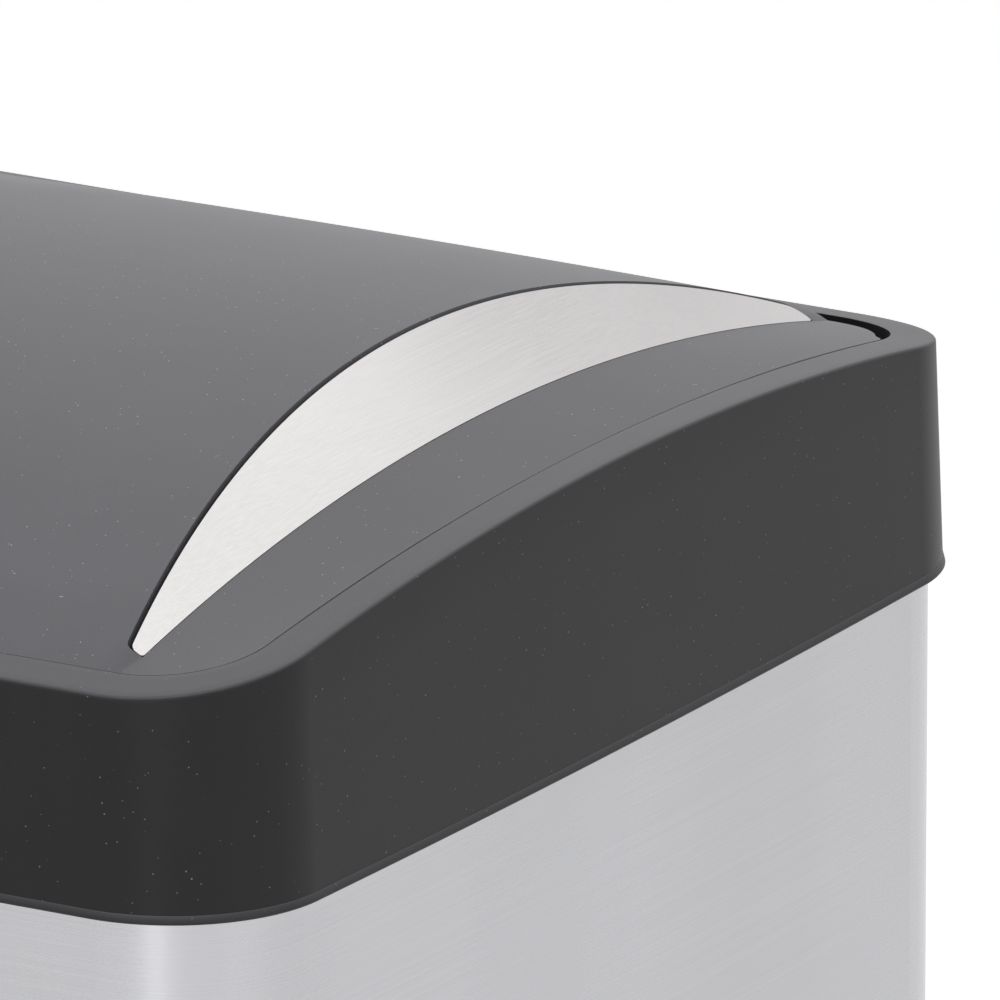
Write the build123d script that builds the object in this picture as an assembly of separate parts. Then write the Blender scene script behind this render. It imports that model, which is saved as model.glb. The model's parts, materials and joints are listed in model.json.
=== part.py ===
from build123d import *
import os
from math import asin, cos, degrees, radians, sin, sqrt, tan

# A dual pedal recycling bin: two buckets side by side in one steel body,
# each under its own lid that a pedal opens. Millimetres, x across, y front to back, z up.

# Plan outline of the band's lower lip, the widest part of the bin
lip_width = 594.0
lip_depth = 334.0
lip_corner_radius = 36.3
side_bow = 3.2
front_bow = 1.4

# Heights above the floor
lip_height = 565.0
plinth_height = 58.0
floor_thickness = 2.5
foot_height = 3.0

# Band with its arched top
arch_peak = 64.4
arch_radius = 880.0
bead_height = 1.7
bead_proud = 0.5
band_draft = 2.1
ledge_inset = 12.5
seam_margin = 0.2
ledge_thickness = 2.5
rim_wall = 2.5
band_edge_round = 0.8
shelf_rise = 26.0
shelf_thickness = 2.5
sleeve_depth = 14.0
sleeve_wall = 2.0
retainer_rib = 2.0
rib_pitch = 80.0

# Steel body
body_inset = 3.75
sheet = 0.6
sheet_clearance = 0.25
sheet_overlap = 30.0
plinth_overlap = 8.0

# Lids
dome_peak = 85.2
crown_inset = 121.0
crown_radius = 5630.0
lid_wall = 2.4
lid_gap = 0.5
split_gap = 3.0
rear_gap = 5.8
rear_gap_lead = 9.0
skirt_bottom = 40.0
liner_thickness = 1.6
liner_margin = 12.0
liner_gap = 9.0

# Crescent inlay and the facet that it lies on
facet_foot_inset = 36.5
facet_foot_peak = 69.3
crescent_end_margin = 10.8
crescent_tip_width = 4.887
dome_edge_inset = 57.3
crescent_gap = 1.2
crescent_drop = 0.4
crescent_sheet = 0.9
crescent_clearance = 0.1
crescent_tip_round = 1.5
facet_overrun = 2.5
surface_stations = 12

# Lid hinges
hinge_set_back = 14.3
hinge_drop = 6.5
hinge_pin_radius = 2.0
hinge_head_radius = 3.7
hinge_stem_front = 4.5
hinge_stem_back = 1.7
hinge_end_margin = 44.0
rim_ear_width = 10.0
lid_ear_width = 6.0
ear_side_gap = 0.5
running_clearance = 0.05
lid_open_angle = 75.0

# Push rod and what it lifts
lane_x = 147.0
arm_radius = 25.0
arm_pin_radius = 4.0
arm_cheek = 3.0
arm_inner_width = 18.0
arm_flange = 3.0
arm_flange_back = 10.0
arm_flange_front = 18.0
rod_radius = 3.0
rod_head_gap = 0.8
head_width = 14.0
head_depth = 16.0
head_height = 10.0
head_round = 2.8
rod_hole_room = 2.0
screw_head_radius = 3.5
screw_head_height = 2.0
screw_radius = 1.7
screw_room = 0.6

# Guide channel and damper
guide_wall = 2.0
guide_front_gap = 1.2
guide_side_room = 13.0
guide_flange = 12.0
guide_tab = 3.0
guide_foot_gap = 1.0
guide_top_gap = 2.0
guide_end_tab = 12.0
damper_clip_rise = 64.5
damper_offset = 19.0
damper_radius = 7.0
damper_bore = 5.5
damper_length = 90.0
damper_rod_radius = 2.0
damper_base_height = 378.0
yoke_height = 8.0
yoke_depth = 9.0
damper_stroke_margin = 8.0

# Pedal
pivot_back = 106.0
pivot_height = 27.0
pivot_pin_radius = 4.0
bush_radius = 7.0
lever_width = 24.0
lever_depth = 10.0
lever_sheet = 1.6
pad_reach = 43.0
pad_width = 96.0
pad_thickness = 14.0
pad_wall = 2.5
pad_skirt_gap = 3.5
pad_corner = 12.0
tread_margin = 10.0
tread_thickness = 1.5
tread_ribs = 5
tread_rib_width = 4.2
slot_side_room = 5.0
slot_top_room = 11.0
bracket_sheet = 2.0
bracket_side_gap = 1.0
bracket_flange = 14.0
bracket_length = 30.0
cup_radius = 4.5
cup_depth = 4.0

# Base
plinth_proud = 1.5
plinth_wall = 2.75
upstand_height = 12.0
upstand_wall = 2.5
seat_thickness = 2.5
foot_radius = 10.0
foot_seat_depth = 3.0
foot_boss_radius = 14.0
foot_inset = 36.0

# Buckets and their handles
opening_inner = 6.0
opening_outer_margin = 7.5
opening_front_margin = 7.3
opening_back_margin = 47.3
opening_corner = 22.0
bucket_clearance = 2.0
bucket_flange = 7.0
bucket_flange_thickness = 3.0
bucket_wall = 2.0
bucket_floor = 3.0
bucket_draft = 1.0
bucket_top_drop = 3.0
ear_height = 12.0
ear_depth = 14.0
ear_thickness = 6.0
ear_margin = 1.0
bail_radius = 2.0
bail_inset = 12.0
bail_bend = 4.0
bail_front_inset = 9.0
grip_radius = 5.5
grip_length = 120.0
rest_gap = 0.3

# Rivets and buffers
rivet_radius = 2.0
rivet_head_radius = 4.0
rivet_head_height = 1.2
rivet_rise = 6.0
rivet_near = 60.0
rivet_far = 220.0
rivet_clearance = 0.05
buffer_radius = 4.0
buffer_margin = 20.0

half_width = lip_width / 2
half_depth = lip_depth / 2
seam_half_depth = half_depth - ledge_inset - seam_margin
seam_half_width = half_width - ledge_inset
body_outer = body_inset
body_inner = body_inset + sheet
floor_top = plinth_height + floor_thickness
sheet_bottom = plinth_height - plinth_overlap
sheet_top = lip_height + sheet_overlap - rest_gap
shelf_top = lip_height + shelf_rise
shelf_bottom = shelf_top - shelf_thickness
crown_x = half_width - crown_inset
facet_foot_x = half_width - facet_foot_inset
crescent_half_length = seam_half_depth - crescent_end_margin
dome_edge_bow = dome_edge_inset - facet_foot_inset - crescent_tip_width
dome_edge_radius = (crescent_half_length ** 2 + dome_edge_bow ** 2) / (2 * dome_edge_bow)
dome_edge_centre = half_width - dome_edge_inset + dome_edge_radius
opening_back = seam_half_depth - opening_back_margin
hinge_y = seam_half_depth - hinge_set_back
arm_start_angle = lid_open_angle / 2
arm_pin_y = hinge_y - arm_radius * cos(radians(arm_start_angle))
rod_travel = 2 * arm_radius * sin(radians(arm_start_angle))
rod_y = hinge_y - arm_radius * (1 + cos(radians(arm_start_angle))) / 2
pivot_y = -half_depth + pivot_back
rear_arm = rod_y - pivot_y
pedal_angle = degrees(2 * asin(rod_travel / 2 / rear_arm))
pad_front = half_depth + pad_reach
origin_shift = (pad_front - half_depth) / 2


def arch_height(y):
    """Height of the ledge above the floor at y."""
    return lip_height + arch_peak - (arch_radius - sqrt(arch_radius ** 2 - y ** 2))


dome_sagitta = lip_height + dome_peak - arch_height(seam_half_depth)


def dome_height(x, y):
    """Height of the lid's domed surface at x, y."""
    radius = crown_radius - dome_sagitta * (y / seam_half_depth) ** 2
    middle = lip_height + dome_peak - crown_radius
    return middle + sqrt(radius ** 2 - (x - crown_x) ** 2)


hinge_z = dome_height(hinge_end_margin, hinge_y) - hinge_drop
arm_pin_z = hinge_z - arm_radius * sin(radians(arm_start_angle))
rod_top = arm_pin_z - arm_pin_radius - rod_head_gap - head_height
foot_rise = facet_foot_peak + lip_height - arch_height(crescent_half_length)
foot_line_radius = (crescent_half_length ** 2 + foot_rise ** 2) / (2 * foot_rise)


def foot_line_height(y):
    """Height of the facet's lower edge at y."""
    sag = foot_line_radius - sqrt(foot_line_radius ** 2 - y ** 2)
    return lip_height + facet_foot_peak - sag


def end_height(x, y):
    """Height of the lid's gently sloped end at x, y."""
    share = (x - facet_foot_x) / (seam_half_width - facet_foot_x)
    return foot_line_height(y) + share * (arch_height(y) - foot_line_height(y))


def dome_edge_x(y, gap=0.0):
    """Where the dome ends, or the crescent's upper edge with its gap."""
    return dome_edge_centre - sqrt((dome_edge_radius - gap) ** 2 - y ** 2)


def plan(inset):
    """Bowed rounded rectangle that lies the inset inside the band's lip."""
    x = half_width - inset
    y = half_depth - inset
    corner_x = x - side_bow * (y / half_depth) ** 2
    corner_y = y - front_bow * (x / half_width) ** 2
    front = ThreePointArc((-corner_x, -corner_y), (0, -y), (corner_x, -corner_y))
    right = ThreePointArc((corner_x, -corner_y), (x, 0), (corner_x, corner_y))
    back = ThreePointArc((corner_x, corner_y), (0, y), (-corner_x, corner_y))
    left = ThreePointArc((-corner_x, corner_y), (-x, 0), (-corner_x, -corner_y))
    face = make_face([front, right, back, left])
    return fillet(face.vertices(), lip_corner_radius - inset)


def prism(face, low, high):
    """The plan face as a solid between two heights."""
    return extrude(Pos(0, 0, low) * face, amount=high - low)


def ring(outer_inset, inner_inset, low, high):
    """A band of the plan outline between two insets and two heights."""
    return prism(plan(outer_inset), low, high) - prism(plan(inner_inset), low, high)


def block(x0, x1, y0, y1, z0, z1):
    """A box given by its limits."""
    middle = ((x0 + x1) / 2, (y0 + y1) / 2, (z0 + z1) / 2)
    return Pos(*middle) * Box(abs(x1 - x0), abs(y1 - y0), abs(z1 - z0))


def rod_x(radius, x0, x1, y, z):
    """A cylinder along x."""
    return Pos((x0 + x1) / 2, y, z) * Rot(0, 90, 0) * Cylinder(radius, x1 - x0)


def rod_z(radius, x, y, z0, z1):
    """A cylinder along z."""
    return Pos(x, y, (z0 + z1) / 2) * Cylinder(radius, z1 - z0)


def under_arch(drop):
    """Everything below the band's arched top, lowered by the drop."""
    centre = lip_height + arch_peak - arch_radius
    return Pos(0, 0, centre) * Rot(0, 90, 0) * Cylinder(arch_radius - drop, 2 * lip_width)


def under_dome(drop):
    """Everything of the right half below the lid's dome, lowered by the drop."""
    end = arch_height(seam_half_depth) - drop
    peak = lip_height + dome_peak - drop
    base = lip_height
    curve = Bezier((-seam_half_depth, end), (0, 2 * peak - end), (seam_half_depth, end))
    sides = Polyline((seam_half_depth, end), (seam_half_depth, base),
                     (-seam_half_depth, base), (-seam_half_depth, end))
    face = Plane.YZ * make_face([curve, sides])
    axis = Axis((0, 0, lip_height + dome_peak - crown_radius), (0, 1, 0))
    sweep_angle = degrees(asin(half_width / crown_radius)) * 2
    wedge = revolve(face, axis, revolution_arc=sweep_angle)
    centre = axis.position.Z
    return Pos(crown_x, 0, centre) * Rot(0, -sweep_angle / 2, 0) * Pos(0, 0, -centre) * wedge


def right_of(x):
    """Plan region from x outwards on the right."""
    return Pos((x + lip_width) / 2, 0) * Rectangle(lip_width - x, 2 * lip_depth)


def lid_plan():
    """Outline of the right lid, set forward round its rear edge."""
    close = plan(ledge_inset + lid_gap)
    start = hinge_y - rear_gap_lead
    front = Pos(0, start - lip_depth) * Rectangle(2 * lip_width, 2 * lip_depth)
    back = Pos(0, start + lip_depth) * Rectangle(2 * lip_width, 2 * lip_depth)
    rear = Pos(0, -rear_gap) * close
    return ((close & front) + (rear & back)) & right_of(split_gap / 2)


def lid_inner_plan():
    """Plan of the lid's hollow, open at the back."""
    face = plan(ledge_inset + lid_gap + lid_wall) & right_of(split_gap / 2 + lid_wall)
    return face + Pos(0, 2 * rear_gap) * face


def crescent_plan(gap, clearance):
    """Plan of the crescent, or of its pocket, between a straight foot and an arc."""
    y = crescent_half_length + clearance
    foot = facet_foot_x + clearance
    tip = dome_edge_x(y, gap)
    arc = ThreePointArc((tip, -y), (dome_edge_x(0, gap), 0), (tip, y))
    sides = Polyline((tip, y), (foot, y), (foot, -y), (tip, -y))
    return make_face([arc, sides])


def end_plan():
    """Plan of the lid's end, all that lies beyond the dome and the crescent."""
    y = half_depth
    edge = dome_edge_x(y)
    arc = ThreePointArc((edge, -y), (dome_edge_x(0), 0), (edge, y))
    sides = Polyline((edge, y), (lip_width, y), (lip_width, -y), (edge, -y))
    return make_face([arc, sides]) - crescent_plan(-facet_overrun, crescent_clearance)


def end_inner_plan():
    """Plan of the end's hollow, which passes a wall's width under the crescent."""
    face = right_of(facet_foot_x - lid_wall)
    near = crescent_half_length - lid_wall
    for side in (-1, 1):
        ends = right_of(dome_edge_x(near) - lid_wall)
        face += ends & (Pos(lip_width / 2, side * (near + half_depth)) * Rectangle(2 * lip_width, lip_depth))
    return face


def above(low_points, high_points):
    """Everything above the ruled surface between two rows of points."""
    face = Face.make_surface_from_curves(Spline(*low_points), Spline(*high_points))
    return extrude(face, amount=dome_peak, dir=(0, 0, 1))


def stations(half_length):
    """Evenly spaced places from end to end along y."""
    return [half_length * (2 * i / surface_stations - 1) for i in range(surface_stations + 1)]


def over_facet(drop):
    """Everything above the facet under the crescent, lowered by the drop."""
    foot_points = []
    edge_points = []
    for y in stations(crescent_half_length + facet_overrun):
        x = dome_edge_x(y, crescent_gap)
        rise = dome_height(x, y) - crescent_drop - foot_line_height(y)
        slope = rise / (facet_foot_x - x)
        foot_z = foot_line_height(y) - drop
        foot_points.append((facet_foot_x + facet_overrun, y, foot_z - slope * facet_overrun))
        edge_x = x - 2 * facet_overrun
        edge_points.append((edge_x, y, foot_z + slope * (facet_foot_x - edge_x)))
    return above(foot_points, edge_points)


def over_end(drop):
    """Everything above the lid's end, lowered by the drop."""
    inside = dome_edge_x(0) - 2 * facet_overrun
    places = stations(half_depth)
    inner_points = [(inside, y, end_height(inside, y) - drop) for y in places]
    outer_points = [(half_width, y, end_height(half_width, y) - drop) for y in places]
    return above(outer_points, inner_points)


def lid():
    """Shell of the right lid with the pocket for its crescent."""
    low = lip_height + skirt_bottom
    high = lip_height + 2 * dome_peak
    outer = under_dome(0.0) & prism(lid_plan(), low, high)
    outer -= over_end(0.0) & prism(end_plan(), low, high)
    outer -= over_facet(crescent_sheet) & prism(crescent_plan(0.0, crescent_clearance), low, high)
    hollow = under_dome(lid_wall) & prism(lid_inner_plan(), low - 1, high)
    hollow -= over_end(lid_wall) & prism(end_inner_plan(), low, high)
    hollow -= over_facet(crescent_sheet + lid_wall)
    shell = outer - hollow
    for x in hinge_places():
        for side in (-1, 1):
            shell += lid_ear(x + side * (rim_ear_width / 2 + ear_side_gap + lid_ear_width / 2))
    return shell


def hinge_places():
    """Middle of each hinge of the right lid."""
    return (hinge_end_margin, seam_half_width - hinge_end_margin)


def lid_ear(x):
    """One ear under the lid, with the pin's bore."""
    half = lid_ear_width / 2
    front = hinge_y - hinge_head_radius
    back = hinge_y + hinge_head_radius
    stem = block(x - half, x + half, front, back, hinge_z, lip_height + dome_peak)
    ear = (stem & under_dome(lid_wall / 2)) + rod_x(hinge_head_radius, x - half, x + half, hinge_y, hinge_z)
    bore = hinge_pin_radius + running_clearance
    return ear - rod_x(bore, x - lid_ear_width, x + lid_ear_width, hinge_y, hinge_z)


def hinge_pins():
    """The two short pins of the right lid."""
    half = rim_ear_width / 2 + ear_side_gap + lid_ear_width
    pins = Part()
    for x in hinge_places():
        pins += rod_x(hinge_pin_radius, x - half, x + half, hinge_y, hinge_z)
    return pins


def crescent():
    """Curved steel inlay of the right lid."""
    high = lip_height + dome_peak
    face = crescent_plan(crescent_gap, 0.0)
    face = fillet(face.vertices(), crescent_tip_round)
    inlay = prism(face, lip_height, high)
    return (inlay & over_facet(crescent_sheet)) - over_facet(0.0)


def lid_liner():
    """Panel under the dome of the right lid."""
    x0 = split_gap / 2 + liner_margin
    x1 = half_width - dome_edge_inset - liner_margin
    y0 = -seam_half_depth + liner_margin
    y1 = arm_pin_y - arm_flange_front - liner_gap
    area = block(x0, x1, y0, y1, lip_height, lip_height + dome_peak)
    return (under_dome(lid_wall) & area) - under_dome(lid_wall + liner_thickness)


def arm_half():
    """Half the width of the arm's flange and cheeks."""
    return arm_inner_width / 2 + arm_cheek


def arm_screw_places():
    """Plan places of the arm's two screws."""
    y = arm_pin_y - arm_flange_front + screw_head_radius + screw_room
    side = arm_inner_width / 2 - screw_head_radius - screw_room
    return ((lane_x - side, y), (lane_x + side, y))


def lid_arm():
    """Bracket under the right lid, with two cheeks for the lift pin."""
    half = arm_half()
    left = lane_x - half
    right = lane_x + half
    high = lip_height + dome_peak
    area = block(left, right, arm_pin_y - arm_flange_front, arm_pin_y + arm_flange_back, lip_height, high)
    arm = (under_dome(lid_wall) & area) - under_dome(lid_wall + arm_flange)
    head = arm_pin_radius + arm_cheek
    cheeks = block(left, right, arm_pin_y - 2 * head, arm_pin_y + head, arm_pin_z, high)
    cheeks = (cheeks & under_dome(lid_wall)) + rod_x(head, left, right, arm_pin_y, arm_pin_z)
    cheeks -= Pos(lane_x, arm_pin_y - 2 * head, arm_pin_z) * Rot(45, 0, 0) * Box(4 * half, 2 * head, 2 * head)
    inner = arm_inner_width / 2
    cheeks -= block(lane_x - inner, lane_x + inner, 0, half_depth, lip_height, high)
    arm += cheeks
    arm -= rod_x(arm_pin_radius, left - 1, right + 1, arm_pin_y, arm_pin_z)
    for x, y in arm_screw_places():
        arm -= rod_z(screw_radius, x, y, lip_height, high)
    return arm


def arm_screws():
    """Screws that hold the arm to the right lid."""
    screws = Part()
    for x, y in arm_screw_places():
        top = dome_height(x, y + screw_radius) - lid_wall
        under = dome_height(x, y + screw_head_radius) - lid_wall - arm_flange
        screws += rod_z(screw_radius, x, y, under, top)
        screws += rod_z(screw_head_radius, x, y, under - screw_head_height, under)
    return screws


def arm_pin():
    """Round pin that the push rod lifts."""
    return rod_x(arm_pin_radius, lane_x - arm_half(), lane_x + arm_half(), arm_pin_y, arm_pin_z)


def rod_foot_z():
    """Lowest point of the push rod, just above the lever's cup."""
    drop = rear_arm * sin(radians(pedal_angle / 2))
    return pivot_height - drop + lever_depth / 2 - cup_depth + rest_gap


def push_rod():
    """Rod from the lever's cup to the head, with a round foot."""
    foot = rod_foot_z()
    rod = rod_z(rod_radius, lane_x, rod_y, foot + rod_radius, rod_top + head_height / 2)
    return rod + Pos(lane_x, rod_y, foot + rod_radius) * Sphere(rod_radius)


def rod_head():
    """Cap on the rod, on which the arm's pin rests."""
    head = Pos(lane_x, rod_y, rod_top + head_height / 2) * Box(head_width, head_depth, head_height)
    head = fillet(head.edges().filter_by(Axis.Z), head_round)
    return head - rod_z(rod_radius, lane_x, rod_y, rod_top - 1, rod_top + head_height / 2)


def damper_x():
    """Axis of the right damper."""
    return lane_x + damper_offset


def yoke_z():
    """Lower face of the damper's yoke with the lid closed."""
    return damper_base_height + damper_length + damper_stroke_margin


def damper_cylinder():
    """Closed cylinder of the soft-close damper."""
    low = damper_base_height
    high = low + damper_length
    wall = damper_radius - damper_bore
    body = rod_z(damper_radius, damper_x(), rod_y, low, high)
    body -= rod_z(damper_bore, damper_x(), rod_y, low + wall, high - 2 * wall)
    return body - rod_z(damper_rod_radius + running_clearance, damper_x(), rod_y, low + wall, high + 1)


def damper_piston():
    """Piston, its rod, and the yoke clamped on the push rod."""
    wall = damper_radius - damper_bore
    low = damper_base_height + wall + damper_stroke_margin
    piston = rod_z(damper_bore - 2 * running_clearance, damper_x(), rod_y, low, low + damper_bore)
    piston += rod_z(damper_rod_radius, damper_x(), rod_y, low, yoke_z() + yoke_height)
    x0 = lane_x - yoke_depth / 2 - rod_radius / 2
    x1 = damper_x() + damper_rod_radius + rod_radius
    yoke = block(x0, x1, rod_y - yoke_depth / 2, rod_y + yoke_depth / 2, yoke_z(), yoke_z() + yoke_height)
    piston += yoke
    return piston - rod_z(rod_radius, lane_x, rod_y, yoke_z() - 1, yoke_z() + yoke_height + 1)


def wall_y(x, inset):
    """Where the plan outline's long side lies at x."""
    return half_depth - front_bow * (x / half_width) ** 2 - inset


def rod_guide():
    """Channel at the back wall, with tabs that guide the rod and hold the damper."""
    x0 = lane_x - guide_side_room - guide_wall
    x1 = damper_x() + guide_side_room + guide_wall
    y0 = opening_back + sleeve_wall + guide_front_gap
    y1 = wall_y(x1 + guide_flange, body_inner) - running_clearance
    z0 = plinth_height + upstand_height + guide_foot_gap
    z1 = lip_height - guide_top_gap
    guide = block(x0, x1, y0, y1, z0, z1)
    guide -= block(x0 + guide_wall, x1 - guide_wall, y0 + guide_wall, y1 + 1, z0 - 1, z1 + 1)
    guide += block(x0 - guide_flange, x0 + guide_wall, y1 - guide_wall, y1, z0, z1)
    guide += block(x1 - guide_wall, x1 + guide_flange, y1 - guide_wall, y1, z0, z1)
    tab_back = rod_y + damper_radius + guide_wall
    support = damper_base_height - guide_tab
    clip = damper_base_height + damper_clip_rise
    for z in (z0 + guide_end_tab, support, clip, z1 - guide_tab - guide_end_tab):
        guide += block(x0, x1, y0, tab_back, z, z + guide_tab)
    guide -= rod_z(rod_radius + running_clearance, lane_x, rod_y, z0, z1)
    return guide - rod_z(damper_radius, damper_x(), rod_y, damper_base_height, z1 - 2 * guide_end_tab)


def tilt(shape):
    """Turn a piece from the lever's own frame to its place at rest."""
    return Pos(lane_x, pivot_y, pivot_height) * Rot(-pedal_angle / 2, 0, 0) * shape


def pedal_lever():
    """Channel lever with its bush and the cup for the push rod."""
    front = -(pivot_y + pad_front - 2 * pad_wall)
    back = rear_arm + cup_radius + lever_sheet
    half = lever_width / 2
    deep = lever_depth / 2
    lever = block(-half, half, front, back, -deep, deep)
    inner = half - lever_sheet
    channel_end = rear_arm - cup_radius - lever_sheet
    lever -= block(-inner, inner, front - 1, channel_end, -deep - 1, deep - lever_sheet)
    lever += rod_x(bush_radius, -half, half, 0, 0)
    lever -= rod_x(pivot_pin_radius + running_clearance, -lever_width, lever_width, 0, 0)
    lever -= rod_z(cup_radius, 0, rear_arm, deep - cup_depth, deep + 1)
    return tilt(lever)


def pad_back():
    """Rear face of the pad in the lever's own frame."""
    return -(pivot_y + half_depth - body_inset + plinth_proud + pad_skirt_gap)


def pad_block(shrink, low, high):
    """Rounded block of the pad's plan in the lever's own frame."""
    front = -(pivot_y + pad_front) + shrink
    back = pad_back() - shrink
    width = pad_width - 2 * shrink
    face = Pos(0, (front + back) / 2) * RectangleRounded(width, back - front, pad_corner - shrink)
    return prism(face, low, high)


def pedal_pad():
    """Moulded pad over the lever's front end."""
    top = lever_depth / 2 + pad_wall
    pad = pad_block(0.0, top - pad_thickness, top)
    pad -= pad_block(pad_wall, top - pad_thickness - 1, top - pad_wall)
    slot = lever_width / 2 + rest_gap
    back = pad_back()
    pad -= block(-slot, slot, back - 2 * pad_wall, back + 1, top - pad_thickness - 1, top - pad_wall)
    pad -= pad_block(tread_margin, top - tread_thickness / 2, top + 1)
    return tilt(pad)


def pedal_tread():
    """Ribbed rubber tread on the pad."""
    top = lever_depth / 2 + pad_wall
    tread = pad_block(tread_margin, top - tread_thickness / 2, top + tread_thickness / 2)
    pitch = (pad_width - 2 * tread_margin) / (tread_ribs + 1)
    middle = (pad_back() - (pivot_y + pad_front)) / 2
    length = pad_back() + pivot_y + pad_front - 2 * (tread_margin + tread_thickness)
    for i in range(tread_ribs):
        x = pitch * (i + 1 - (tread_ribs + 1) / 2)
        rib = Box(tread_rib_width, length, tread_thickness)
        tread += Pos(x, middle, top + tread_thickness / 2) * rib
    return tilt(tread)


def bracket_screw_places():
    """Plan places of the right bracket's four screws."""
    side = lever_width / 2 + bracket_side_gap + bracket_sheet + bracket_flange / 2
    along = bracket_length / 4
    return [(lane_x + i * side, pivot_y + j * along) for i in (-1, 1) for j in (-1, 1)]


def pivot_bracket():
    """Two ears with flanges that hang the lever under the floor."""
    bracket = Part()
    low = pivot_height - bush_radius
    y0 = pivot_y - bracket_length / 2
    y1 = pivot_y + bracket_length / 2
    for side in (-1, 1):
        inner = lane_x + side * (lever_width / 2 + bracket_side_gap)
        outer = inner + side * bracket_sheet
        end = outer + side * bracket_flange
        bracket += block(inner, outer, y0, y1, low, plinth_height)
        bracket += block(inner, end, y0, y1, plinth_height - bracket_sheet, plinth_height)
    bracket -= rod_x(pivot_pin_radius, lane_x - lever_width, lane_x + lever_width, pivot_y, pivot_height)
    for x, y in bracket_screw_places():
        bracket -= rod_z(screw_radius, x, y, low, plinth_height + 1)
    return bracket


def pivot_pin():
    """Pin on which the right pedal lever turns."""
    half = lever_width / 2 + bracket_side_gap + 2 * bracket_sheet
    return rod_x(pivot_pin_radius, lane_x - half, lane_x + half, pivot_y, pivot_height)


def bracket_screws():
    """Screws of both pivot brackets."""
    screws = Part()
    under = plinth_height - bracket_sheet
    for x, y in bracket_screw_places():
        for side in (-1, 1):
            screws += rod_z(screw_radius, side * x, y, under, plinth_height + floor_thickness / 2)
            screws += rod_z(screw_head_radius, side * x, y, under - screw_head_height, under)
    return screws


def foot_places():
    """Plan places of the four feet."""
    x = half_width - foot_inset
    y = half_depth - foot_inset
    return [(i * x, j * y) for i in (-1, 1) for j in (-1, 1)]


def base():
    """Moulded plinth with the floor for the buckets and the pedal slots."""
    skirt = body_inset - plinth_proud
    inner = body_inner + sheet_clearance
    body = ring(skirt, skirt + plinth_wall, foot_height, sheet_bottom)
    body += ring(skirt, body_outer - sheet_clearance, sheet_bottom - seat_thickness, plinth_height)
    body += ring(skirt, inner + upstand_wall, sheet_bottom - seat_thickness, sheet_bottom)
    body += ring(inner, inner + upstand_wall, sheet_bottom - seat_thickness, plinth_height + upstand_height)
    body += prism(plan(inner), plinth_height, floor_top)
    for x, y in foot_places():
        body += rod_z(foot_boss_radius, x, y, foot_height, plinth_height)
        body -= rod_z(foot_radius, x, y, 0, foot_height + foot_seat_depth)
    slot = lever_width / 2 + slot_side_room
    slot_end = -half_depth + skirt + plinth_wall + slot_side_room
    for side in (-1, 1):
        middle = side * lane_x
        body -= block(middle - slot, middle + slot, -half_depth, slot_end, 0, plinth_height - slot_top_room)
        body -= rod_z(rod_radius + rod_hole_room, side * lane_x, rod_y, plinth_height - 1, floor_top + 1)
        for x, y in bracket_screw_places():
            body -= rod_z(screw_radius, side * x, y, plinth_height - 1, plinth_height + floor_thickness / 2)
    for x, y in rivet_spots():
        body -= rivet_shank(x, y)
    return body


def feet():
    """Four rubber feet seated in the base."""
    pads = Part()
    for x, y in foot_places():
        pads += rod_z(foot_radius, x, y, 0, foot_height + foot_seat_depth)
    return pads


def rivet_spots():
    """Where the rivets sit at the back wall."""
    return [(side * x, wall_y(x, body_outer)) for x in (rivet_near, rivet_far) for side in (-1, 1)]


def rivet_shank(x, y):
    """Shank of one rivet through sheet and upstand."""
    length = rivet_clearance + sheet + sheet_clearance + upstand_wall
    place = Pos(x, y + rivet_clearance - length / 2, plinth_height + rivet_rise)
    return place * Rot(90, 0, 0) * Cylinder(rivet_radius, length)


def body_rivets():
    """Rivets that hold the sheet body to the base."""
    rivets = Part()
    for x, y in rivet_spots():
        rivets += rivet_shank(x, y)
        head = Pos(x, y + rivet_clearance + rivet_head_height / 2, plinth_height + rivet_rise)
        rivets += head * Rot(90, 0, 0) * Cylinder(rivet_head_radius, rivet_head_height)
    return rivets


def outer_body():
    """Rolled steel sheet, open at the top and bottom."""
    body = ring(body_outer, body_inner, sheet_bottom, sheet_top)
    for x, y in rivet_spots():
        body -= rivet_shank(x, y)
    return body


def opening_limits():
    """Right bucket's opening in the rim's shelf."""
    x1 = seam_half_width - opening_outer_margin
    y0 = -seam_half_depth + opening_front_margin
    return opening_inner, x1, y0, opening_back


def opening_plan(grow=0.0):
    """The opening's plan, grown or shrunk."""
    x0, x1, y0, y1 = opening_limits()
    middle = Pos((x0 + x1) / 2, (y0 + y1) / 2)
    return middle * RectangleRounded(x1 - x0 + 2 * grow, y1 - y0 + 2 * grow, opening_corner + grow)


def rim_ear(x):
    """One ear on the shelf that carries a hinge pin."""
    half = rim_ear_width / 2
    front = hinge_y - hinge_stem_front
    back = hinge_y + hinge_stem_back
    ear = block(x - half, x + half, front, back, shelf_bottom, hinge_z)
    ear += rod_x(hinge_head_radius, x - half, x + half, hinge_y, hinge_z)
    return ear - rod_x(hinge_pin_radius, x - rim_ear_width, x + rim_ear_width, hinge_y, hinge_z)


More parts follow.
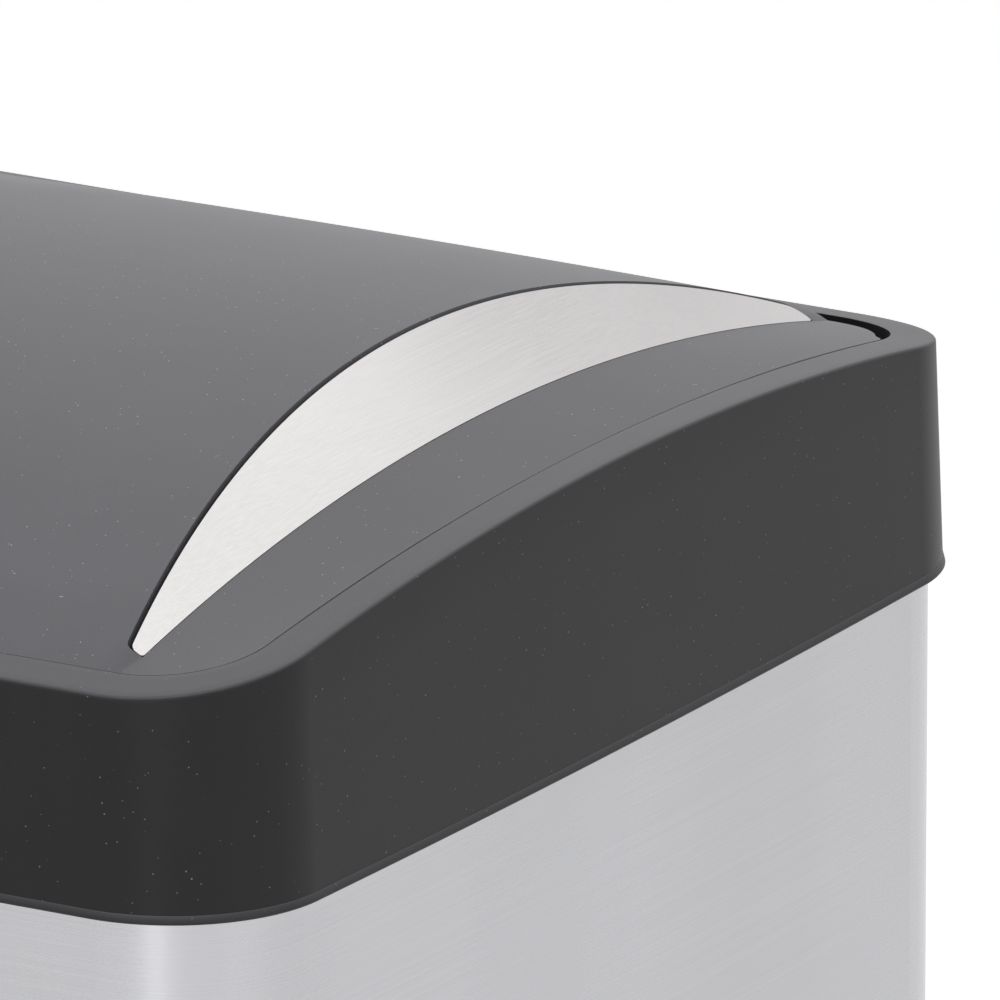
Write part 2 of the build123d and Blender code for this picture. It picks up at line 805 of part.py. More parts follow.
def rim_band():
    """Outer band with its lip, arched ledge and inner wall."""
    top = lip_height + arch_peak + 5
    lip = prism(plan(0.0), lip_height, lip_height + bead_height)
    lip = chamfer(lip.edges().group_by(Axis.Z)[-1], bead_proud)
    wall = extrude(Pos(0, 0, lip_height) * plan(bead_proud), amount=top - lip_height, taper=band_draft)
    band = (lip + wall) & under_arch(0.0)
    edges = [e for e in band.edges() if e.center().Z > lip_height + sheet_overlap]
    band = fillet(edges, band_edge_round)
    inner = ledge_inset - rim_wall
    pocket = body_outer - sheet_clearance
    lean = bead_proud + arch_peak * tan(radians(band_draft))
    hollow = ring(pocket, inner, lip_height - 1, lip_height + sheet_overlap)
    hollow += ring(lean + rim_wall, inner, lip_height + sheet_overlap - 1, top) & under_arch(ledge_thickness)
    hollow += prism(plan(ledge_inset), lip_height - 1, top)
    return band - hollow - prism(plan(pocket), lip_height - 1, shelf_bottom - sleeve_depth)


def rim_ribs():
    """Ribs inside the band that hold the steel body's top edge."""
    outer = body_inner + sheet_clearance
    space = ring(outer, ledge_inset - rim_wall, shelf_bottom - sleeve_depth / 2, lip_height + sheet_overlap)
    ribs = Part()
    half = retainer_rib / 2
    long_side_pairs = int((half_width - lip_corner_radius) / rib_pitch)
    short_side_pairs = int((half_depth - lip_corner_radius) / rib_pitch)
    for i in range(-long_side_pairs, long_side_pairs + 1):
        x = i * rib_pitch
        ribs += block(x - half, x + half, -half_depth, half_depth, lip_height, sheet_top)
    for i in range(-short_side_pairs, short_side_pairs + 1):
        y = i * rib_pitch
        ribs += block(-half_width, half_width, y - half, y + half, lip_height, sheet_top)
    return ribs & space


def rim_shelf():
    """Right half of the shelf: bucket opening, sleeve, rod notch and hinge ears."""
    right = block(0, half_width, -half_depth, half_depth, shelf_bottom, shelf_top)
    shelf = prism(plan(ledge_inset - rim_wall), shelf_bottom, shelf_top) & right
    shelf -= prism(opening_plan(), shelf_bottom - 1, shelf_top + 1)
    sleeve = prism(opening_plan(sleeve_wall), shelf_top - sleeve_depth, shelf_bottom)
    shelf += sleeve - prism(opening_plan(), shelf_top - sleeve_depth - 1, shelf_top)
    notch = arm_half() + bucket_clearance
    back = rod_y + head_depth / 2 + bucket_clearance
    front = opening_back + sleeve_wall
    shelf -= block(lane_x - notch, lane_x + notch, front, back, shelf_bottom - 1, shelf_top + 1)
    for x in hinge_places():
        shelf += rim_ear(x)
    return shelf


def rim():
    """Dark band round the top, in one moulding."""
    half = rim_shelf()
    return rim_band() + rim_ribs() + half + mirror(half, about=Plane.YZ)


def lid_buffers():
    """Rubber stops under the right lid's front edge."""
    buffers = Part()
    for x in (split_gap / 2 + buffer_margin, seam_half_width - 2 * buffer_margin):
        y = -wall_y(x, ledge_inset) + buffer_radius + rest_gap
        buffers += rod_z(buffer_radius, x, y, shelf_top, lip_height + skirt_bottom - rest_gap)
    return buffers


def bucket():
    """Right inner bucket with its flange and two ears."""
    x0, x1, y0, y1 = opening_limits()
    top = shelf_top - bucket_top_drop
    rim_face = opening_plan(-bucket_clearance)
    body_face = opening_plan(-bucket_clearance - bucket_flange)
    hollow_face = opening_plan(-bucket_clearance - bucket_flange - bucket_wall)
    solid = extrude(Pos(0, 0, top) * body_face, amount=-(top - floor_top), taper=bucket_draft)
    solid += prism(rim_face, top - bucket_flange_thickness, top)
    depth = top - floor_top - bucket_floor
    solid -= extrude(Pos(0, 0, top) * hollow_face, amount=-depth, taper=bucket_draft)
    for x in bail_ear_places():
        ear = block(x - ear_thickness / 2, x + ear_thickness / 2, bail_y() - ear_depth / 2,
                    bail_y() + ear_depth / 2, top, top + ear_height)
        solid += ear
    bore = bail_radius + running_clearance
    return solid - rod_x(bore, x0, x1, bail_y(), bail_z())


def bail_y():
    """Pivot of the bail, at the middle of the bucket."""
    x0, x1, y0, y1 = opening_limits()
    return (y0 + y1) / 2


def bail_z():
    """Height of the bail lying on the bucket's flange."""
    return shelf_top - bucket_top_drop + grip_radius + rest_gap


def bail_ear_places():
    """Middle of each ear across the bucket."""
    x0, x1, y0, y1 = opening_limits()
    edge = bucket_clearance + ear_margin + ear_thickness / 2
    return (x0 + edge, x1 - edge)


def bail():
    """Bent wire handle of the right bucket, lying forward."""
    x0, x1, y0, y1 = opening_limits()
    near = bucket_clearance + ear_margin
    front = y0 + bucket_clearance + bail_front_inset
    z = bail_z()
    left = x0 + near
    right = x1 - near
    points = [(left, bail_y(), z), (left + bail_inset, bail_y(), z), (left + bail_inset, front, z),
              (right - bail_inset, front, z), (right - bail_inset, bail_y(), z), (right, bail_y(), z)]
    path = FilletPolyline(*points, radius=bail_bend)
    section = Plane(origin=points[0], z_dir=(1, 0, 0)) * Circle(bail_radius)
    return sweep(section, path=path)


def bail_grip():
    """Moulded grip on the bail."""
    x0, x1, y0, y1 = opening_limits()
    front = y0 + bucket_clearance + bail_front_inset
    middle = (x0 + x1) / 2
    low = middle - grip_length / 2
    high = middle + grip_length / 2
    grip = rod_x(grip_radius, low, high, front, bail_z())
    return grip - rod_x(bail_radius, low - 1, high + 1, front, bail_z())


def write(name, shape):
    """Write one piece, with the origin below the middle of the whole footprint."""
    export_step(Pos(0, origin_shift, 0) * shape, f"parts/{name}.step")


os.makedirs("parts", exist_ok=True)

singles = {
    "outer_body": outer_body,
    "base": base,
    "feet": feet,
    "rim": rim,
    "body_rivets": body_rivets,
    "bracket_screws": bracket_screws,
}

pairs = {
    "lid": lid,
    "crescent": crescent,
    "lid_liner": lid_liner,
    "lid_arm": lid_arm,
    "arm_pin": arm_pin,
    "arm_screws": arm_screws,
    "hinge_pins": hinge_pins,
    "lid_buffers": lid_buffers,
    "push_rod": push_rod,
    "rod_head": rod_head,
    "rod_guide": rod_guide,
    "damper_cylinder": damper_cylinder,
    "damper_piston": damper_piston,
    "pedal_lever": pedal_lever,
    "pedal_pad": pedal_pad,
    "pedal_tread": pedal_tread,
    "pivot_bracket": pivot_bracket,
    "pivot_pin": pivot_pin,
    "bucket": bucket,
    "bail": bail,
    "bail_grip": bail_grip,
}

for name, make in singles.items():
    write(name, make())

for name, make in pairs.items():
    piece = make()
    write("right_" + name, piece)
    write("left_" + name, mirror(piece, about=Plane.YZ))
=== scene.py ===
# %% [markdown]
# # A dual pedal recycling bin
# The bin's working model is already built: 48 solid pieces with their joints.
# This script dresses it. It gives every surface its finish, and it models again, as smooth
# meshes, the few pieces whose curves carry the picture: the lids, their steel crescents and
# the dark band round the top.

# %% Load the model
import bmesh
import bpy
import json
from math import asin, atan2, cos, pi, radians, sin, sqrt, tan
from mathutils import Matrix, Vector


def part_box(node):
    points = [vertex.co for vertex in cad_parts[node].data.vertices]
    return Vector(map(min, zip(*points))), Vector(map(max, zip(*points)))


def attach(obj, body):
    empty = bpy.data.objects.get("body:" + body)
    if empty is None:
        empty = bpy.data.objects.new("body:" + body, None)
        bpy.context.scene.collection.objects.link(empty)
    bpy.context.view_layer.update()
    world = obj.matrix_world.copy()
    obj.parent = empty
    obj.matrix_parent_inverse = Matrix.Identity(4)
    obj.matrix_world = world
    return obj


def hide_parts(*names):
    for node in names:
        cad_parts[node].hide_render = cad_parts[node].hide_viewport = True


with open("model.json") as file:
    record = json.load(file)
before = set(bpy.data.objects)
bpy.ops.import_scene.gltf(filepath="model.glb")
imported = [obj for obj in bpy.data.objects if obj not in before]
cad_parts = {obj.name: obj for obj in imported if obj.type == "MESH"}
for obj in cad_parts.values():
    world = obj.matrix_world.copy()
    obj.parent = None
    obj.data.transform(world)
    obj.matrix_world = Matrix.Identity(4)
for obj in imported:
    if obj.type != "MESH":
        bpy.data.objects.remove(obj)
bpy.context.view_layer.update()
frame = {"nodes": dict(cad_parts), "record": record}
nodes = frame["nodes"]

# %% [markdown]
# ## Sizes in millimetres
# The band's outline is a rounded rectangle whose sides bow out a little. Everything at the
# top follows it: the band stands on it, the ledge is a step inwards, and the lids fill the rest.
# Lengths are kept in millimetres here, measured from the middle of the body, and one function
# moves them into the model's frame.

# %% Sizes of the band and lids
mm = 0.001
lip_width = 594.0
lip_depth = 334.0
corner_radius = 36.3
side_bow = 3.2
front_bow = 1.4
lip_z = 565.0
arch_peak = 64.4
arch_radius = 880.0
ledge_inset = 12.5
half_width = lip_width / 2
half_depth = lip_depth / 2
body_low, body_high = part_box("outer_body")
middle_y = (body_low.y + body_high.y) / 2 / mm
print("The body's middle lies", round(middle_y, 2), "mm behind the frame's origin")


# %% Helpers for places on the outline
def to_frame(x, y, z):
    """A place in millimetres from the body's middle, as a place in the model."""
    return Vector((x * mm, (y + middle_y) * mm, z * mm))


def side_x(y, inset):
    """The straight part of the short side at y."""
    return half_width - inset - side_bow * (y / half_depth) ** 2


def long_y(x, inset):
    """The straight part of the long side at x."""
    return half_depth - inset - front_bow * (x / half_width) ** 2


def corner_centre(inset):
    """Middle of the rounded corner, found by closing in on it."""
    radius = corner_radius - inset
    x, y = half_width, half_depth
    for _ in range(4):
        x = side_x(y, inset) - radius
        y = long_y(x, inset) - radius
    return x, y, radius


def outline_point(t, inset):
    """The outline at t, from the middle of the front (0) to the middle of the right side (1)."""
    x, y, radius = corner_centre(inset)
    if t < 0.4:
        across = x * t / 0.4
        return across, -long_y(across, inset)
    if t < 0.6:
        angle = radians(90) * (t - 0.4) / 0.2
        return x + radius * sin(angle), -y - radius * cos(angle)
    along = y * (t - 0.6) / 0.4 - y
    return side_x(along, inset), along


def arch_z(y):
    """Height of the ledge, an arch from front to back."""
    return lip_z + arch_peak - (arch_radius - sqrt(arch_radius ** 2 - y ** 2))


print("The ledge rises from", round(arch_z(half_depth - ledge_inset), 1), "to", round(arch_z(0), 1), "mm")

# %% [markdown]
# ## The camera
# The photograph is a close view of the right end from the front right, taken with a long lens.
# The angles below were found by fitting the band's outline to it.

# %% Camera
turn = radians(30.487)
tilt = radians(16.974)
distance = 4.5
aim_right = -0.029817
aim_up = 0.052042
pixels_per_metre = 4627.0
image_width = 1000
look = Vector((-sin(turn) * cos(tilt), cos(turn) * cos(tilt), -sin(tilt)))
right = Vector((cos(turn), sin(turn), 0.0))
up = right.cross(look)
target = to_frame(half_width, 0, lip_z) + aim_right * right + aim_up * up

camera = bpy.data.objects.new("camera", bpy.data.cameras.new("camera"))
facing = Matrix((right, up, -look)).transposed().to_4x4()
camera.matrix_world = Matrix.Translation(target - distance * look) @ facing
camera.data.sensor_width = 36.0
camera.data.lens = pixels_per_metre * distance * camera.data.sensor_width / image_width
camera.data.clip_start = 0.1
camera.data.clip_end = 100.0
bpy.context.scene.collection.objects.link(camera)
bpy.context.scene.camera = camera
print("The lens is", round(camera.data.lens), "mm")

# %% [markdown]
# ## Shader maths
# A material is a graph of nodes. Writing the graph as Python expressions keeps it short:
# the class below wraps a socket, and each operator adds the Math node that does it.


# %% A socket that can be used in expressions
class Value:
    """A number that varies over a surface, as the output of a shader node."""

    def __init__(self, graph, socket):
        self.graph = graph
        self.socket = socket

    def maths(self, operation, *others):
        return self.graph.node("Math", {"operation": operation}, *others)

    def __add__(self, other):
        return self.maths("ADD", self, other)

    def __sub__(self, other):
        return self.maths("SUBTRACT", self, other)

    def __mul__(self, other):
        return self.maths("MULTIPLY", self, other)

    def __rsub__(self, other):
        return self.maths("SUBTRACT", other, self)

    __radd__ = __add__
    __rmul__ = __mul__

    def between(self, low, high):
        """0 below low, 1 above high, and smooth between them."""
        settings = {"interpolation_type": "SMOOTHSTEP"}
        return self.graph.node("MapRange", settings, self, low, high, 0.0, 1.0)


class Finish:
    """A material under construction."""

    def __init__(self, name):
        self.material = bpy.data.materials.new(name)
        self.material.use_nodes = True
        self.tree = self.material.node_tree
        self.shader = self.tree.nodes["Principled BSDF"]
        coordinates = self.tree.nodes.new("ShaderNodeTexCoord")
        self.place = Value(self, coordinates.outputs["Object"])
        self.facing = Value(self, coordinates.outputs["Normal"])

    def node(self, kind, settings, *inputs, output=0, **named):
        """Add a shader node, set it up, and feed its sockets."""
        made = self.tree.nodes.new("ShaderNode" + kind)
        for key, value in settings.items():
            setattr(made, key, value)
        sockets = [(made.inputs[i], value) for i, value in enumerate(inputs)]
        sockets += [(made.inputs[key.replace("_", " ")], value) for key, value in named.items()]
        for socket, value in sockets:
            self.feed(socket, value)
        return Value(self, made.outputs[output])

    def feed(self, socket, value):
        """Link a value to a socket, or write a plain number or colour there."""
        if isinstance(value, Value):
            self.tree.links.new(value.socket, socket)
        else:
            socket.default_value = value

    def stretched(self, x, y, z):
        """The place on the object, scaled by so much along each axis."""
        return self.node("Mapping", {"vector_type": "POINT"}, self.place, Scale=(x, y, z))

    def noise(self, scale, detail=3.0, place=None, roughness=0.5):
        """Soft noise from 0 to 1, with so many waves a metre."""
        place = place or self.place
        return self.node("TexNoise", {}, Vector=place, Scale=scale, Detail=detail, Roughness=roughness)

    def mix(self, share, low, high):
        """A colour between two colours."""
        made = self.tree.nodes.new("ShaderNodeMix")
        made.data_type = "RGBA"
        for socket, value in zip((made.inputs[0], made.inputs[6], made.inputs[7]), (share, low, high)):
            self.feed(socket, value)
        return Value(self, made.outputs[2])

    def surface(self, **named):
        """Set sockets of the Principled shader by their names."""
        for key, value in named.items():
            self.feed(self.shader.inputs[key.replace("_", " ")], value)

    def bump(self, height, depth):
        """Turn a height from 0 to 1 into relief of a depth in metres."""
        relief = self.node("Bump", {}, Height=height, Distance=depth, Strength=1.0)
        self.surface(Normal=relief)


def grey(level, blue=0.0, red=0.0):
    """A screen grey from 0 to 255 as a linear colour, with a little more blue or red."""
    share = level / 255
    linear = ((share + 0.055) / 1.055) ** 2.4
    return (linear * (1 + red), linear, linear * (1 + blue), 1.0)


print("Helpers for materials are ready")

# %% [markdown]
# ## Room and light
# The bin stands on a white sweep in soft daylight-coloured light from five lamps. A wide
# softbox hangs above and behind, where the near half of the crescent mirrors it. A stronger
# one above the front lights the lid and the ledge. Two weaker ones behind and on the right
# shape the far corner, and a strip in front draws the line along the band's foot. The world
# is white where the camera or a reflection sees it, and dimmer as a light.

# %% World, floor and lamps
world = bpy.data.worlds.new("studio")
world.use_nodes = True
bpy.context.scene.world = world
sky = world.node_tree
background = sky.nodes["Background"]
rays = sky.nodes.new("ShaderNodeLightPath")
seen = sky.nodes.new("ShaderNodeMath")
seen.operation = "MAXIMUM"
seen_more = sky.nodes.new("ShaderNodeMath")
seen_more.operation = "MAXIMUM"
strength = sky.nodes.new("ShaderNodeMapRange")
strength.inputs["To Min"].default_value = 0.4
strength.inputs["To Max"].default_value = 1.0
sky.links.new(rays.outputs["Is Camera Ray"], seen.inputs[0])
sky.links.new(rays.outputs["Is Glossy Ray"], seen.inputs[1])
sky.links.new(seen.outputs[0], seen_more.inputs[0])
sky.links.new(rays.outputs["Is Transmission Ray"], seen_more.inputs[1])
sky.links.new(seen_more.outputs[0], strength.inputs["Value"])
sky.links.new(strength.outputs["Result"], background.inputs["Strength"])
background.inputs["Color"].default_value = (1.0, 1.0, 1.0, 1.0)

floor_mesh = bpy.data.meshes.new("floor")
shape = bmesh.new()
bmesh.ops.create_grid(shape, x_segments=1, y_segments=1, size=60.0)
shape.to_mesh(floor_mesh)
shape.free()
floor = bpy.data.objects.new("floor", floor_mesh)
bpy.context.scene.collection.objects.link(floor)
floor_finish = Finish("floor")
ray = floor_finish.tree.nodes.new("ShaderNodeLightPath")
seen_directly = Value(floor_finish, ray.outputs["Is Camera Ray"])
mirrored_by_metal = Value(floor_finish, ray.outputs["Is Glossy Ray"])
seen_through = Value(floor_finish, ray.outputs["Is Transmission Ray"])
watched = seen_directly + mirrored_by_metal + seen_through
glow = floor_finish.mix(watched, (0, 0, 0, 1), (0.5, 0.5, 0.5, 1))
floor_finish.surface(Base_Color=(0.92, 0.92, 0.92, 1.0), Roughness=0.9,
                     Emission_Color=glow, Emission_Strength=1.0)
floor_mesh.materials.append(floor_finish.material)

bpy.context.scene.view_settings.view_transform = "Standard"


def lamp(name, size, watts, place, aim):
    """A soft rectangular lamp that points at a place on the bin."""
    data = bpy.data.lights.new(name, "AREA")
    data.shape = "RECTANGLE"
    data.size, data.size_y = size
    data.energy = watts
    made = bpy.data.objects.new(name, data)
    made.location = place
    made.rotation_euler = (aim - place).to_track_quat("-Z", "Y").to_euler()
    bpy.context.scene.collection.objects.link(made)


bin_middle = Vector((0.1, 0.0, 0.5))
lamp("softbox_above", (2.4, 1.6), 6.5, Vector((-0.1, 1.0, 2.3)), bin_middle)
lamp("softbox_above_front", (2.0, 1.2), 18.5, Vector((0.5, -1.3, 2.4)), bin_middle)
lamp("softbox_behind", (1.8, 1.4), 2.5, Vector((-1.5, 2.4, 1.8)), bin_middle)
lamp("softbox_right", (1.2, 1.4), 3.0, Vector((2.6, -0.4, 1.0)), bin_middle)
lamp("strip_in_front", (0.5, 1.3), 4.0, Vector((1.0, -2.5, 0.6)), bin_middle)

# %% [markdown]
# ## The lid's curves
# Seen from above, the right lid has three stretches: a dome, which ends at an arc; the sloped
# bed of the crescent; and a gentle end that meets the ledge. Each height is a formula of the
# place on the plan, so any mesh that is draped over it is exact.

# %% Sizes and heights of the right lid
dome_peak = 85.2
crown_x = half_width - 121.0
crown_radius = 5630.0
foot_x = half_width - 36.5
foot_peak = 69.3
crescent_half = 143.5
edge_inset = 57.3
edge_radius = 640.0
crescent_gap = 1.2
crescent_drop = 0.4
crescent_sheet = 0.9
lid_inset = 12.56
rear_gap = 6.6
rear_gap_inside = 3.6
rear_start = 131.0
rear_blend = 4.0
slot_turn_x = 215
slot_turn = 45
split_x = 1.5
lid_wall = 2.4
skirt_z = lip_z + 40.0
seam_y = half_depth - ledge_inset - 0.2
dome_sag = lip_z + dome_peak - arch_z(seam_y)
foot_rise = foot_peak + lip_z - arch_z(crescent_half)
foot_radius = (crescent_half ** 2 + foot_rise ** 2) / (2 * foot_rise)
near_tip = -crescent_half - 1.5
far_tip = crescent_half - 3.5
near_round = 1.4
far_round = 3.4
trench_depth = 3.5


def dome_z(x, y):
    """Height of the dome."""
    radius = crown_radius - dome_sag * (y / seam_y) ** 2
    return lip_z + dome_peak - crown_radius + sqrt(radius ** 2 - (x - crown_x) ** 2)


def foot_z(y):
    """Height of the line where the crescent's bed meets the lid's end."""
    return lip_z + foot_peak - (foot_radius - sqrt(foot_radius ** 2 - y ** 2))


def edge_x(y, gap=0.0):
    """Where the dome ends."""
    return half_width - edge_inset + edge_radius - sqrt((edge_radius - gap) ** 2 - y ** 2)


def tip_pinch(y):
    """How much the crescent's upper edge gives way to the rounding of its tip."""
    tip, tip_round = (near_tip, near_round) if y < 0 else (far_tip, far_round)
    short = max(tip_round - abs(tip - y), 0)
    return tip_round - sqrt(tip_round ** 2 - min(short, tip_round) ** 2)


def end_z(x, y):
    """Height of the lid's end."""
    share = (x - foot_x) / (half_width - ledge_inset - foot_x)
    return foot_z(y) + share * (arch_z(y) - foot_z(y))


def facet_z(x, y):
    """Height of the crescent's upper face."""
    top_x = edge_x(y, crescent_gap)
    rise = dome_z(top_x, y) - crescent_drop - foot_z(y)
    return foot_z(y) + rise * (foot_x - x) / (foot_x - top_x)


def ramp_z(x, y):
    """Height of the ramp between the dome's edge and the lid's end, round a tip."""
    share = (x - edge_x(y)) / (foot_x - edge_x(y))
    return dome_z(edge_x(y), y) * (1 - share) + end_z(foot_x, y) * share


def limit_y(x, inset):
    """How far the outline reaches to the front or back at x."""
    cx, cy, radius = corner_centre(inset)
    return long_y(x, inset) if x <= cx else cy + sqrt(max(radius ** 2 - (x - cx) ** 2, 0))


def limit_x(y, inset):
    """How far the outline reaches to the right at y."""
    cx, cy, radius = corner_centre(inset)
    return side_x(y, inset) if abs(y) <= cy else cx + sqrt(max(radius ** 2 - (abs(y) - cy) ** 2, 0))


print("The dome drops", round(dome_sag, 1), "mm to the seam; the crescent is",
      round(foot_x - edge_x(0, crescent_gap), 1), "mm wide")

# %% [markdown]
# ## Patches
# A curved shell is easiest to control as a quilt of grids. Each patch is one grid whose
# corners run from 0 to 1 both ways, and a small function says where each of its points goes.
# Neighbours share the same steps along their common side, so merging doubles sews them up.

# %% Patches and mesh pieces
def lerp(a, b, t):
    return a + (b - a) * t


def patch(mesh, across, along, place):
    """Add a grid and send each of its points to its place in millimetres."""
    made = bmesh.ops.create_grid(mesh, x_segments=across, y_segments=along, size=0.5)
    for vertex in made["verts"]:
        vertex.co = to_frame(*place(vertex.co.x + 0.5, vertex.co.y + 0.5))


def face_outwards(mesh):
    """Turn all faces one way, with the highest one looking up."""
    bmesh.ops.recalc_face_normals(mesh, faces=mesh.faces)
    highest = max(mesh.faces, key=lambda face: face.calc_center_median().z)
    if highest.normal.z < 0:
        bmesh.ops.reverse_faces(mesh, faces=mesh.faces)


def sew(mesh):
    """Merge the patches' shared sides and turn all faces outwards."""
    bmesh.ops.remove_doubles(mesh, verts=mesh.verts, dist=1e-6)
    bmesh.ops.dissolve_degenerate(mesh, edges=mesh.edges, dist=1e-7)
    face_outwards(mesh)


def mirrored(mesh):
    """A copy of a bmesh, mirrored to the left half."""
    copy = mesh.copy()
    bmesh.ops.scale(copy, vec=(-1, 1, 1), verts=copy.verts)
    bmesh.ops.reverse_faces(copy, faces=copy.faces)
    return copy


def piece(name, mesh, body, *stands_for, sharp=35.0):
    """Turn a bmesh into an object that rides on a body and stands for CAD nodes.

    It is shaded smooth, but edges sharper than the angle stay sharp.
    """
    data = bpy.data.meshes.new(name)
    mesh.to_mesh(data)
    mesh.free()
    data.shade_smooth()
    data.set_sharp_from_angle(angle=radians(sharp))
    made = bpy.data.objects.new(name, data)
    bpy.context.scene.collection.objects.link(made)
    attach(made, body)
    if stands_for:
        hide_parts(*stands_for)
    return made


def round_edges(obj, width, segments=2, angle=40.0):
    """Round the edges that are sharper than an angle."""
    bevel = obj.modifiers.new("edges", "BEVEL")
    bevel.width = width * mm
    bevel.segments = segments
    bevel.limit_method = "ANGLE"
    bevel.angle_limit = radians(angle)
    bevel.harden_normals = True


print("Helpers for meshes are ready")

# %% [markdown]
# ## The lid's shell
# The moulded shell is a skin with a wall of 2.4 mm. Its plan is cut by lines from front to
# back, called levels here: the front seam, the crescent's near tip, the place where the slot
# behind the lid starts, the crescent's far tip, and the rear edge. The slot is the room that
# the rear edge needs when the lid turns up round its hinge, so there the outline steps forward.

# %% The shell's skin
level_steps = (6, 140, 24, 12)
dome_steps = 48
bed_steps = 8
end_steps = 10
fold_end = 0.8


def rear_shift(y):
    """How far forward the outline has stepped at y."""
    share = min(max((y - rear_start) / rear_blend, 0), 1)
    return rear_gap * share * share * (3 - 2 * share)


def slot_width(x):
    """Width of the slot behind the lid, which is narrower away from the corner."""
    share = min(max((x - slot_turn_x) / slot_turn, 0), 1)
    return rear_gap_inside + (rear_gap - rear_gap_inside) * share * share * (3 - 2 * share)


def level_y(level, x):
    """Where one of the five levels lies at x."""
    if level == 0:
        return -limit_y(x, lid_inset)
    if level == 4:
        return limit_y(x, lid_inset) - slot_width(x)
    return (near_tip, rear_start, far_tip)[level - 1]


def between_levels(k, x, v):
    """A place between level k and the next, with finer steps at a tip of the crescent."""
    if k == 1:
        v = 0.5 - 0.5 * cos(pi * v)
    return lerp(level_y(k, x), level_y(k + 1, x), v)


def dome_patch(k):
    """The dome, from the split between the lids to the arc that ends it."""
    def place(u, v):
        x = lerp(split_x, edge_x(0), u)
        for _ in range(4):
            y = between_levels(k, x, v)
            x = lerp(split_x, edge_x(y), u)
        return x, y, dome_z(x, y)
    return place


def fold_x(y):
    """Foot of the ramp beyond a tip: it closes in on the dome's edge towards the seam."""
    tip = near_tip if y < 0 else far_tip
    share = min(abs(y - tip) / (abs(limit_y(foot_x, lid_inset)) - abs(tip)), 1)
    return lerp(foot_x, edge_x(y) + fold_end, share if y < 0 else 0)


def ramp_columns(tip):
    """Shares of a ramp's width where the shoulder, the trench and the bed's steps meet it."""
    start, width = edge_x(tip), foot_x - edge_x(tip)
    across = edge_x(tip, crescent_gap) + tip_pinch(tip)
    bed = [lerp(across, foot_x, i / bed_steps) for i in range(bed_steps + 1)]
    return [(x - start) / width for x in [start, start + tip_pinch(tip)] + bed]


def tip_patch(k):
    """The small ramp beyond each tip of the crescent, with the same points as the tip's wall."""
    columns = ramp_columns(near_tip if k == 0 else far_tip)

    def place(u, v):
        column = columns[round(u * (len(columns) - 1))]
        x = foot_x
        for _ in range(4):
            y = between_levels(k, x, v)
            x = lerp(edge_x(y), foot_x, column)
        start, end = edge_x(y), fold_x(y)
        share = min((x - start) / max(end - start, 0.01), 1)
        foot = end_z(end, y) if x < end else end_z(x, y)
        return x, y, lerp(dome_z(start, y), foot, share)
    return place


def shoulder(k):
    """The rest of the ramp beside the rounding of a tip."""
    def place(u, v):
        y = between_levels(k, foot_x, v)
        x = edge_x(y) + tip_pinch(y) * u
        return x, y, ramp_z(x, y)
    return place


def trench(k):
    """The cut along the crescent's upper edge: down, across, and up to the bed."""
    def place(u, v):
        y = between_levels(k, foot_x, v)
        x = edge_x(y) + tip_pinch(y)
        across = edge_x(y, crescent_gap) + tip_pinch(y)
        bottom = facet_z(across, y) - crescent_sheet - trench_depth
        bed = bottom + trench_depth
        corners = [(x, ramp_z(x, y)), (x, bed), (x, bottom), (across, bottom), (across, bed)]
        return corners[round(u * 4)][0], y, corners[round(u * 4)][1]
    return place


def bed_patch(k):
    """The sunk bed that the crescent lies on."""
    def place(u, v):
        y = between_levels(k, foot_x, v)
        x = lerp(edge_x(y, crescent_gap) + tip_pinch(y), foot_x, u)
        return x, y, facet_z(x, y) - crescent_sheet
    return place


def lower_wall(k):
    """The low wall along the crescent's foot."""
    def place(u, v):
        y = between_levels(k, foot_x, v)
        return foot_x, y, lerp(end_z(foot_x, y), facet_z(foot_x, y) - crescent_sheet, u)
    return place


def tip_wall(y):
    """The wall across the end of the bed and of the trench."""
    start = edge_x(y) + tip_pinch(y)
    across = edge_x(y, crescent_gap) + tip_pinch(y)
    bed = facet_z(across, y) - crescent_sheet

    def trench_end(u, v):
        x = lerp(start, across, u)
        return x, y, (ramp_z(x, y), bed, bed - trench_depth)[round(v * 2)]

    def bed_end(u, v):
        x = lerp(across, foot_x, u)
        return x, y, lerp(ramp_z(x, y), facet_z(x, y) - crescent_sheet, v)
    return trench_end, bed_end


def end_patch(k):
    """A straight stretch of the lid's gentle end."""
    def place(u, v):
        y = between_levels(k, foot_x, v)
        x = lerp(foot_x, limit_x(y + rear_shift(y), lid_inset), u)
        return x, y, end_z(x, y)
    return place


def corner_patch(side, tip):
    """A rounded corner of the end, a fan from the foot line to the level of the tip."""
    cx, cy, radius = corner_centre(lid_inset)
    shift = rear_gap if side > 0 else 0.0
    reach = abs(tip) + shift
    start = asin((foot_x - cx) / radius)
    stop = atan2(limit_x(reach, lid_inset) - cx, reach - cy)

    def place(u, v):
        v = v if side < 0 else 1 - v
        angle = lerp(start, stop, v)
        outer_y = side * (cy + radius * cos(angle)) - shift
        inner_y = lerp(side * limit_y(foot_x, lid_inset) - shift, tip, v)
        x = lerp(foot_x, cx + radius * sin(angle), u)
        y = lerp(inner_y, outer_y, u)
        return x, y, end_z(x, y)
    return place


